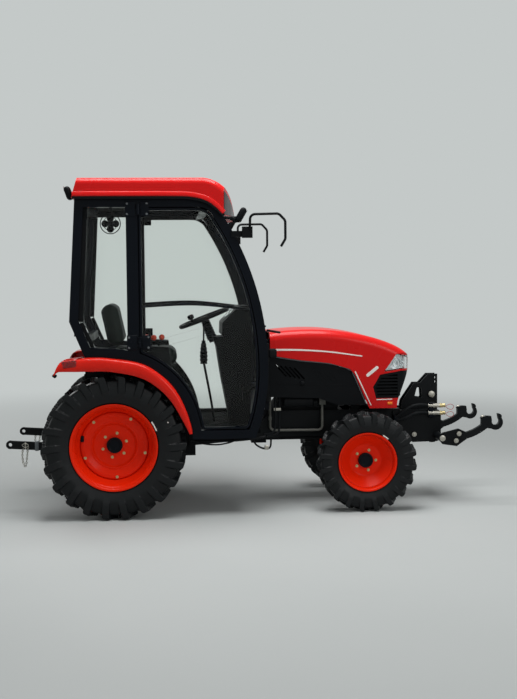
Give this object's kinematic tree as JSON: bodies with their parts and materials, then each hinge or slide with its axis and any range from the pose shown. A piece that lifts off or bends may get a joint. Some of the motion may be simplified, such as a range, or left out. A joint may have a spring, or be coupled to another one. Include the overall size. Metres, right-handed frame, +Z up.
{
  "type": "compact cab tractor",
  "caption": "Compact four-wheel-drive cab tractor with glazed cab, opening doors and bonnet, steered front wheels and front and rear three-point linkages.",
  "frame": {"origin": "ground level under the middle of the overall length and width", "axes": "+X forward, +Y to the left, +Z up"},
  "size_m": [3.25, 1.286, 2.1314],
  "materials": {
    "red_paint": "gloss",
    "wheel_paint": "gloss",
    "black_paint": "satin",
    "cast_iron": "painted satin",
    "tyre_rubber": "matte",
    "tinted_glass": "polished",
    "clear_lens": "polished",
    "red_lens": "polished",
    "black_plastic": "grained",
    "seat_cover": "grained",
    "steel": "plated"
  },
  "bodies": {
    "tractor": {"cab_frame_right": "black_paint", "cab_frame_left": "black_paint", "cab_crossbars": "black_paint", "firewall": "black_paint", "cab_floor": "black_paint", "wheel_arches": "black_paint", "bulkhead": "black_paint", "front_frame": "black_paint", "front_axle": "black_paint", "front_linkage_frame": "black_paint", "drawbar": "black_paint", "seat_base": "black_paint", "radiator": "black_paint", "roof": "red_paint", "fender_right": "red_paint", "fender_left": "red_paint", "windscreen": "tinted_glass", "rear_window": "tinted_glass", "quarter_windows": "tinted_glass", "roof_lining": "black_plastic", "dashboard": "black_plastic", "steering_column": "black_plastic", "side_consoles": "black_plastic", "control_levers": "black_plastic", "mirrors": "black_plastic", "work_lamps": "black_plastic", "side_panels": "black_plastic", "front_hoses": "black_plastic", "seat_cushion": "seat_cover", "seat_back": "seat_cover", "tail_lamps": "red_lens", "engine": "cast_iron", "transmission": "cast_iron", "hydraulic_pipes": "steel"},
    "wheel_rear_right": {"tyre_rear_right": "tyre_rubber", "rim_rear_right": "wheel_paint"},
    "wheel_rear_left": {"tyre_rear_left": "tyre_rubber", "rim_rear_left": "wheel_paint"},
    "wheel_front_right": {"tyre_front_right": "tyre_rubber", "rim_front_right": "wheel_paint"},
    "wheel_front_left": {"tyre_front_left": "tyre_rubber", "rim_front_left": "wheel_paint"},
    "knuckle_right": {"knuckle_right": "black_paint"},
    "knuckle_left": {"knuckle_left": "black_paint"},
    "tie_rod": {"tie_rod": "black_paint"},
    "steering_wheel": {"steering_wheel": "black_plastic"},
    "door_right": {"door_frame_right": "black_paint", "door_glass_right": "tinted_glass"},
    "door_left": {"door_frame_left": "black_paint", "door_glass_left": "tinted_glass"},
    "bonnet": {"bonnet": "red_paint", "headlamps": "clear_lens", "grille": "black_plastic"},
    "front_lift_arms": {"front_lift_arms": "black_paint"},
    "lift_ram_barrel": {"lift_ram_barrel": "black_paint"},
    "lift_ram_rod": {"lift_ram_rod": "steel"},
    "rockshaft_arms": {"rockshaft_arms": "black_paint"},
    "lower_links": {"lower_links": "black_paint"},
    "lift_rods": {"lift_rods": "black_paint"}
  },
  "joints": [
    {"name": "rear_right_spin", "type": "hinge", "parent": "tractor", "child": "wheel_rear_right", "pos_m": [-0.93, -0.5, 0.455], "axis": [0, 1, 0], "continuous": true},
    {"name": "rear_left_spin", "type": "hinge", "parent": "tractor", "child": "wheel_rear_left", "pos_m": [-0.93, 0.5, 0.455], "axis": [0, 1, 0], "continuous": true},
    {"name": "steer_right", "type": "hinge", "parent": "tractor", "child": "knuckle_right", "pos_m": [0.685, -0.33, 0.32], "axis": [0, 0, 1], "range_deg": [-38, 38]},
    {"name": "steer_left", "type": "hinge", "parent": "tractor", "child": "knuckle_left", "pos_m": [0.685, 0.33, 0.32], "axis": [0, 0, 1], "range_deg": [-38, 38]},
    {"name": "front_right_spin", "type": "hinge", "parent": "knuckle_right", "child": "wheel_front_right", "pos_m": [0.685, -0.455, 0.32], "axis": [0, 1, 0], "continuous": true},
    {"name": "front_left_spin", "type": "hinge", "parent": "knuckle_left", "child": "wheel_front_left", "pos_m": [0.685, 0.455, 0.32], "axis": [0, 1, 0], "continuous": true},
    {"name": "tie_rod_swing", "type": "hinge", "parent": "knuckle_right", "child": "tie_rod", "pos_m": [0.535, -0.33, 0.25], "axis": [0, 0, 1], "range_deg": [-38, 38]},
    {"name": "steering_wheel_turn", "type": "hinge", "parent": "tractor", "child": "steering_wheel", "pos_m": [-0.339, 0, 1.242], "axis": [-0.3584, 0, 0.9336], "range_deg": [-420, 420]},
    {"name": "door_right_open", "type": "hinge", "parent": "tractor", "child": "door_right", "pos_m": [-0.759, -0.5665, 1.5], "axis": [0, 0, -1], "range_deg": [0, 75]},
    {"name": "door_left_open", "type": "hinge", "parent": "tractor", "child": "door_left", "pos_m": [-0.759, 0.5665, 1.5], "axis": [0, 0, 1], "range_deg": [0, 75]},
    {"name": "bonnet_open", "type": "hinge", "parent": "tractor", "child": "bonnet", "pos_m": [0.1, 0, 1.118], "axis": [0, -1, 0], "range_deg": [0, 50]},
    {"name": "front_lift", "type": "hinge", "parent": "tractor", "child": "front_lift_arms", "pos_m": [1.22, 0, 0.437], "axis": [0, -1, 0], "range_deg": [-35, 30]},
    {"name": "ram_swing", "type": "hinge", "parent": "tractor", "child": "lift_ram_barrel", "pos_m": [1.015, 0, 0.455], "axis": [0, -1, 0], "range_deg": [-8, 8]},
    {"name": "ram_slide", "type": "slide", "parent": "lift_ram_barrel", "child": "lift_ram_rod", "axis": [0.9491, 0, -0.3148], "range_m": [-0.032, 0.027]},
    {"name": "rear_lift", "type": "hinge", "parent": "tractor", "child": "rockshaft_arms", "pos_m": [-1.125, 0, 0.69], "axis": [0, 1, 0], "range_deg": [-18, 18]},
    {"name": "links_swing", "type": "hinge", "parent": "tractor", "child": "lower_links", "pos_m": [-1.06, 0, 0.42], "axis": [0, 1, 0], "range_deg": [-18, 18]},
    {"name": "rods_swing", "type": "hinge", "parent": "rockshaft_arms", "child": "lift_rods", "pos_m": [-1.275, 0, 0.69976], "axis": [0, 1, 0], "range_deg": [-18, 18]}
  ],
  "couplings": [
    {"joint": "steer_left", "follows": "steer_right", "ratio": 1},
    {"joint": "tie_rod_swing", "follows": "steer_right", "ratio": -1},
    {"joint": "steering_wheel_turn", "follows": "steer_right", "ratio": 11},
    {"joint": "ram_swing", "follows": "front_lift", "ratio": 0.073},
    {"joint": "ram_slide", "follows": "front_lift", "m_per_rad": 0.0475},
    {"joint": "links_swing", "follows": "rear_lift", "ratio": 1},
    {"joint": "rods_swing", "follows": "rear_lift", "ratio": -1}
  ]
}
